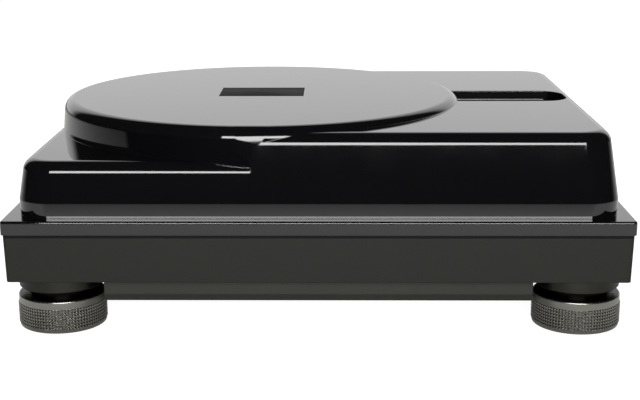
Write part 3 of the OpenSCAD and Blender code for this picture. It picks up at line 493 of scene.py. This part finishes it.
# %% Dress the CAD nodes
FINISHES = {
    "cover_gloss": cover_acrylic, "badge_gloss": badge_enamel, "deck_black": deck_paint_and_shade,
    "cabinet_paint": cabinet_paint, "base_rubber": base_rubber, "steel": zinc_steel,
    "foot_black": black_aluminium, "foot_knurled": knurled_aluminium, "pad_rubber": pad_rubber,
    "cast_metal": cast_zinc, "copper": copper_winding, "brass": turned_brass, "magnet": magnet_ferrite,
    "platter_metal": platter_aluminium, "mat_rubber": mat_rubber, "felt": felt, "circuit_board": board,
    "core_steel": core_laminations, "black_plastic": moulded_abs, "satin_metal": satin_aluminium,
    "red_lens": red_acrylic, "scale_black": scale_paint, "arm_black": arm_paint, "arm_chrome": arm_chrome,
    "stylus_white": stylus_plastic,
}
slots = {part["node"]: part["material_slot"] for part in frame["record"]["subparts"]}
for name, node in frame["nodes"].items():
    node.data.materials.clear()
    node.data.materials.append(FINISHES[slots[name]])
print("dressed", len(slots), "nodes in", len(FINISHES), "finishes")

# %% [markdown]
# ## The cover
#
# The real cover is one moulding: a box with leaning walls and a brim, a low shelf at the left, a high
# shelf at the right and a round drum over the platter. Each of these is first a solid of its own, and
# Boolean modifiers then join them, so that where two meet the line comes out exactly. Last, the same
# join of solids made thinner by the wall is cut out from below, which leaves an even wall.


# %% Helpers for solids
def piece(name, bm, finish_of_piece, body):
    """An object from the bmesh, smooth shaded, which rides on the CAD body."""
    bmesh.ops.recalc_face_normals(bm, faces=bm.faces)
    for face in bm.faces:
        face.smooth = True
    mesh = bpy.data.meshes.new(name)
    bm.to_mesh(mesh)
    bm.free()
    mesh.materials.append(finish_of_piece)
    made = bpy.data.objects.new(name, mesh)
    bpy.context.collection.objects.link(made)
    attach(made, body)
    return made


def box_of(x0, x1, y0, y1, z0, z1):
    """A bmesh box between these planes."""
    bm = bmesh.new()
    bmesh.ops.create_cube(bm, size=1)
    bmesh.ops.scale(bm, vec=(x1 - x0, y1 - y0, z1 - z0), verts=bm.verts)
    bmesh.ops.translate(bm, vec=((x0 + x1) / 2, (y0 + y1) / 2, (z0 + z1) / 2), verts=bm.verts)
    return bm


def round_edges(bm, edges, radius, steps, lean=0.0):
    """Rounds edges to a radius; lean is how far the wall beside them leans from upright."""
    setback = radius * math.tan(math.pi / 4 - lean / 2)
    bmesh.ops.bevel(bm, geom=edges, offset=setback, segments=steps, profile=0.5, affect="EDGES", material=-1)


def upright(bm):
    """The edges that run up and down."""
    return [e for e in bm.edges if abs(e.verts[0].co.z - e.verts[1].co.z) > tiny]


def rim(bm, z):
    """The edges round the shape at height z."""
    return [e for e in bm.edges if all(abs(v.co.z - z) < tiny for v in e.verts)]


def spun(profile, centre, steps):
    """A closed solid turned round an upright axis from a profile of (radius, height)."""
    bm = bmesh.new()
    points = [bm.verts.new((centre.x + r, centre.y, z)) for r, z in profile]
    edges = [bm.edges.new(pair) for pair in zip(points, points[1:])]
    bmesh.ops.spin(bm, geom=points + edges, cent=(centre.x, centre.y, 0), axis=(0, 0, 1), angle=2 * math.pi,
                   steps=steps, use_merge=True)
    bmesh.ops.remove_doubles(bm, verts=bm.verts, dist=tiny)
    bmesh.ops.holes_fill(bm, edges=[e for e in bm.edges if e.is_boundary], sides=0)
    return bm


def arc(centre_r, centre_z, radius, start, end, steps):
    """Points of a round stretch of a profile, between two angles in degrees."""
    turns = [math.radians(start + (end - start) * k / steps) for k in range(steps + 1)]
    return [(centre_r + radius * math.cos(t), centre_z + radius * math.sin(t)) for t in turns]


print("solid helpers ready")

# %% [markdown]
# A leaning box is a cube whose corners are bevelled, cut once at the height where its walls start to
# lean, and drawn in at the top. Its top edge is bevelled last, so that the rounding keeps one radius
# all the way round. Each solid is made twice, as the outside and again thinned by the wall, so that the
# moulding is equally thick everywhere.


# %% The boxes of the cover
def leaning_box(top, skin):
    """The box of the cover up to a given top, thinned all round by skin."""
    half = box_half - Vector((skin, skin))
    top = top - skin
    bm = box_of(-half.x, half.x, -half.y, half.y, brim_top - 5 * MM, top)
    round_edges(bm, upright(bm), 24 * MM - skin, 16)
    everything = bm.verts[:] + bm.edges[:] + bm.faces[:]
    bmesh.ops.bisect_plane(bm, geom=everything, plane_co=(0, 0, plinth_band_top), plane_no=(0, 0, 1))
    lean = (top - plinth_band_top) * math.tan(draft)
    for side in (-1, 1):
        for end in (-1, 1):
            quarter = [v for v in bm.verts if v.co.z > top - tiny and v.co.x * side > 0 and v.co.y * end > 0]
            bmesh.ops.translate(bm, vec=(-side * lean, -end * lean, 0), verts=quarter)
    round_edges(bm, rim(bm, top), top_rounding - skin, 14, draft)
    return bm


def raw(name, bm):
    """A working solid that a Boolean modifier uses up."""
    bmesh.ops.recalc_face_normals(bm, faces=bm.faces)
    mesh = bpy.data.meshes.new(name)
    bm.to_mesh(mesh)
    bm.free()
    made = bpy.data.objects.new(name, mesh)
    bpy.context.collection.objects.link(made)
    return made


def settle(made):
    """Replaces the object's mesh with the result of its modifiers."""
    graph = bpy.context.evaluated_depsgraph_get()
    graph.update()
    result = bpy.data.meshes.new_from_object(made.evaluated_get(graph))
    made.modifiers.clear()
    made.data = result


def combine(base, tool, operation):
    """Joins, cuts or intersects base with tool, and removes the tool."""
    step = base.modifiers.new("combine", "BOOLEAN")
    step.operation = operation
    step.solver = "EXACT"
    step.object = tool
    settle(base)
    bpy.data.objects.remove(tool)


print("box at the brim:", round(2000 * box_half.x), "x", round(2000 * box_half.y), "mm")

# %% [markdown]
# The drum is spun from a profile that has only the points it needs: its foot, and an arc over its
# shoulder. The drum is wider than the cover is deep, so it is cut to the walls of a tall leaning box.


# %% The drum
def round_drum(skin):
    """The drum over the platter, thinned all round by skin."""
    foot_z = low_shelf_z - 20 * MM
    foot_radius = drum_radius - skin + (drum_top_z - foot_z) * math.tan(drum_slope)
    rounding = top_rounding - skin
    shoulder = arc(drum_radius - top_rounding, drum_top_z - top_rounding, rounding, 4, 90, 16)
    drum = raw("drum", spun([(foot_radius, foot_z)] + shoulder, platter_centre, 160))
    combine(drum, raw("tall_box", leaning_box(drum_top_z, skin)), "INTERSECT")
    return drum


print("drum:", round(2000 * drum_radius), "mm across its top")

# %% [markdown]
# The finger channel lets a hand lift the cover. Its cutter is a long box with a round end and a rounded
# bottom, sunk into the high shelf, and it starts inside the drum so that it runs out under the drum's
# wall.


# %% The high shelf with its finger channel
def channelled_shelf(skin):
    """The high shelf, thinned all round by skin, with the finger channel grown by skin."""
    shelf = raw("high_shelf", leaning_box(high_shelf_z, skin))
    right_half = box_of(platter_centre.x + skin, 0.4, -0.4, 0.4, 0, 0.4)
    combine(shelf, raw("right_half", right_half), "INTERSECT")
    end = box_half.x - 14 * MM + skin
    front, back = -22 * MM, 35 * MM
    floor_z = high_shelf_z - 9 * MM - skin
    channel = box_of(platter_centre.x - 1 * MM, end, front - skin, back + skin, floor_z,
                     high_shelf_z + 20 * MM)
    outer_end = [e for e in upright(channel) if e.verts[0].co.x > 0]
    round_edges(channel, outer_end, 20 * MM + skin, 16)
    for v in channel.verts:
        if v.co.z < floor_z + tiny:
            v.co.y -= math.copysign(2.6 * MM, v.co.y - (front + back) / 2)
    round_edges(channel, rim(channel, floor_z), 2 * MM, 14)
    combine(shelf, raw("channel", channel), "DIFFERENCE")
    return shelf


print("high shelf:", round(1000 * (high_shelf_z - deck_top_z), 1), "mm above the deck")

# %% [markdown]
# Gloss shows the smallest error in shading, because every flat area has to mirror like glass. Here the
# shading normals are set from the faces: a broad flat face gives its own normal to all its corners,
# and the small faces of a rounding share theirs and run smoothly into it.

# %% Flat mirrors and the joined moulding
SAME_CURVE = math.radians(7.5)
BROAD_AREA = 200 * MM * MM


def mirror_flat(mesh):
    """Sets the shading normals so that flat areas mirror as flat, and roundings run smoothly into them."""
    bm = bmesh.new()
    bm.from_mesh(mesh)
    normals = []
    for face in bm.faces:
        for corner in face.loops:
            around = corner.vert.link_faces
            alike = [f for f in around if f.normal.dot(face.normal) > math.cos(SAME_CURVE)]
            broad = [f for f in alike if f.calc_area() > BROAD_AREA]
            normals.append(sum((f.normal * f.calc_area() for f in broad or alike), Vector()).normalized())
    bm.free()
    mesh.normals_split_custom_set(normals)


def join_moulding(brim, skin):
    """The brim joined with the shelves and the drum, all thinned by skin."""
    joined = raw("cover_moulding", brim)
    combine(joined, raw("low_shelf", leaning_box(low_shelf_z, skin)), "UNION")
    combine(joined, channelled_shelf(skin), "UNION")
    combine(joined, round_drum(skin), "UNION")
    return joined


print("faces within", round(math.degrees(SAME_CURVE), 1), "degrees shade as one curve")

# %% [markdown]
# The badge lies in a shallow pocket in the drum's top. It is left bare. After the last cut, flat areas
# that the Booleans split are merged again and cut into clean triangles, and their normals keep them
# flat as mirrors.

# %% Brim, hollow and pocket
brim = box_of(cover_low.x, cover_high.x, cover_low.y, cover_high.y, cover_low.z, brim_top)
round_edges(brim, upright(brim), 3 * MM, 14)
round_edges(brim, rim(brim, brim_top), 1.6 * MM, 14)
cover = join_moulding(brim, 0)
under_brim = box_of(cover_low.x + wall, cover_high.x - wall, cover_low.y + wall, cover_high.y - wall,
                    cover_low.z - 1 * MM, brim_top - wall)
combine(cover, join_moulding(under_brim, wall), "DIFFERENCE")
badge_low, badge_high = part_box("cover_badge")
play = 0.1 * MM
pocket = box_of(badge_low.x - play, badge_high.x + play, badge_low.y - play, badge_high.y + play,
                badge_low.z, drum_top_z + 1 * MM)
combine(cover, raw("pocket", pocket), "DIFFERENCE")
bm = bmesh.new()
bm.from_mesh(cover.data)
bmesh.ops.remove_doubles(bm, verts=bm.verts, dist=0.01 * MM)
bmesh.ops.dissolve_limit(bm, angle_limit=math.radians(0.4), verts=bm.verts, edges=bm.edges)
bmesh.ops.triangulate(bm, faces=bm.faces)
bpy.data.objects.remove(cover)
open_edges = sum(not e.is_manifold for e in bm.edges)
cover = piece("cover_moulding", bm, cover_acrylic, "cover")
mirror_flat(cover.data)
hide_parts("dust_cover")
print("cover:", len(cover.data.polygons), "faces,", open_edges, "open edges")

# %% [markdown]
# The badge is a thin plate with broken edges: a box with its edges bevelled by a third of a millimetre.

# %% Badge
plate = box_of(badge_low.x, badge_high.x, badge_low.y, badge_high.y, badge_low.z, badge_high.z)
round_edges(plate, upright(plate), 1.2 * MM, 4)
round_edges(plate, rim(plate, badge_high.z), 0.3 * MM, 3)
badge = piece("badge_plate", plate, badge_enamel, "cover")
badge.data.set_sharp_from_angle(angle=math.radians(32))
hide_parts("cover_badge")
print("badge:", round(1000 * badge.dimensions.x, 1), "x", round(1000 * badge.dimensions.y, 1), "mm")

# %% [markdown]
# ## The feet
#
# A foot's ring is turned in one piece with its neck and stud, and a diamond-pointed wheel then presses
# the knurl into its side. Spin makes the turned shape, with one row of faces for every row of the
# knurl, and poking each face of the band raises its middle into a small pyramid.

# %% Knurled rings
KNURL_ROWS = 7
KNURL_COLUMNS = 88
ring_low, ring_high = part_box("foot_ring_1")
ring_radius = (ring_high.x - ring_low.x) / 2
knurl_depth = 0.8 * MM
smooth_radius = ring_radius - knurl_depth
ring_top_z = 25.6 * MM
band_low_z = 2.9 * MM
band_high_z = 19.2 * MM
neck_radius = ring_radius - 9 * MM
neck_top_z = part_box("foot_collar_1")[1].z - 0.3 * MM
stud_radius = 5 * MM
recess_radius = ring_radius - 4.1 * MM
recess_z = ring_low.z + 5.5 * MM


def ring_profile():
    """The outline of a ring from its recess for the pad, up its side and neck, to the end of its stud."""
    row = (band_high_z - band_low_z) / KNURL_ROWS
    band = [(smooth_radius, band_low_z + row * k) for k in range(KNURL_ROWS + 1)]
    foot = [(recess_radius, recess_z), (recess_radius, ring_low.z)]
    foot += arc(smooth_radius - 1 * MM, ring_low.z + 1 * MM, 1 * MM, -90, 0, 4)
    shoulder = arc(smooth_radius - 1.6 * MM, ring_top_z - 1.6 * MM, 1.6 * MM, 0, 90, 5)
    neck = [(neck_radius, ring_top_z), (neck_radius, neck_top_z), (stud_radius, neck_top_z)]
    return foot + band + shoulder + neck + [(stud_radius, ring_high.z)]


def knurled_ring(number):
    """The knurled ring, neck and stud of one foot."""
    low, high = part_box("foot_ring_%d" % number)
    bm = spun(ring_profile(), (low + high) / 2, KNURL_COLUMNS)
    bmesh.ops.recalc_face_normals(bm, faces=bm.faces)
    middle = Vector(((low.x + high.x) / 2, (low.y + high.y) / 2))
    band = [f for f in bm.faces if band_low_z < f.calc_center_median().z < band_high_z
            and (f.calc_center_median().xy - middle).length > recess_radius + 1 * MM]
    bmesh.ops.poke(bm, faces=band, offset=knurl_depth)
    ring = piece("knurled_ring_%d" % number, bm, knurled_aluminium, "foot_%d_ring" % number)
    ring.data.set_sharp_from_angle(angle=math.radians(25))
    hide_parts("foot_ring_%d" % number)
    return len(band)


pyramids = [knurled_ring(number) for number in range(1, 5)]
print("knurl pyramids on each ring:", pyramids)

# %% [markdown]
# ## On the platter
#
# The mat is moulded rubber with rings of ribs, which show at its edge round the felt. The felt is a cut
# disc with a hole for the spindle, a little raised and soft at its rim. Both are spun round the
# spindle.

# %% Ribbed mat
mat_low, mat_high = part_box("platter_mat")
mat_radius = (mat_high.x - mat_low.x) / 2
hole = 4.8 * MM
rib = 4 * MM
mat_profile = [(hole, mat_low.z), (mat_radius - 0.6 * MM, mat_low.z)]
mat_profile += arc(mat_radius - 0.6 * MM, mat_low.z + 0.6 * MM, 0.6 * MM, -90, 0, 3)[1:]
mat_profile += arc(mat_radius - 0.8 * MM, mat_high.z - 0.8 * MM, 0.8 * MM, 0, 90, 4)
for count in range(int((mat_radius - 30 * MM) / rib)):
    edge = mat_radius - 3 * MM - rib * count
    mat_profile += [(edge, mat_high.z), (edge - 0.5 * MM, mat_high.z - 0.9 * MM)]
    mat_profile += [(edge - 1.5 * MM, mat_high.z - 0.9 * MM), (edge - 2 * MM, mat_high.z)]
mat_profile += [(hole, mat_high.z), (hole, mat_low.z)]
ribbed_mat = piece("ribbed_mat", spun(mat_profile, platter_centre, 128), mat_rubber, "platter")
ribbed_mat.data.set_sharp_from_angle(angle=math.radians(30))
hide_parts("platter_mat")
print("mat:", round(2000 * mat_radius), "mm across")

# %% Felt slipmat
felt_low, felt_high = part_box("slipmat")
felt_radius = (felt_high.x - felt_low.x) / 2
felt_profile = [(hole, felt_low.z), (felt_radius - 0.5 * MM, felt_low.z)]
felt_profile += arc(felt_radius - 0.7 * MM, (felt_low.z + felt_high.z) / 2, 0.7 * MM, -80, 80, 6)
felt_profile += [(felt_radius - 6 * MM, felt_high.z - 0.1 * MM), (felt_radius - 20 * MM, felt_high.z)]
felt_profile += [(hole + 1 * MM, felt_high.z), (hole, felt_high.z - 0.4 * MM), (hole, felt_low.z)]
slipmat = piece("felt_slipmat", spun(felt_profile, platter_centre, 128), felt, "platter")
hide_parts("slipmat")
print("felt:", round(2000 * felt_radius), "mm across")
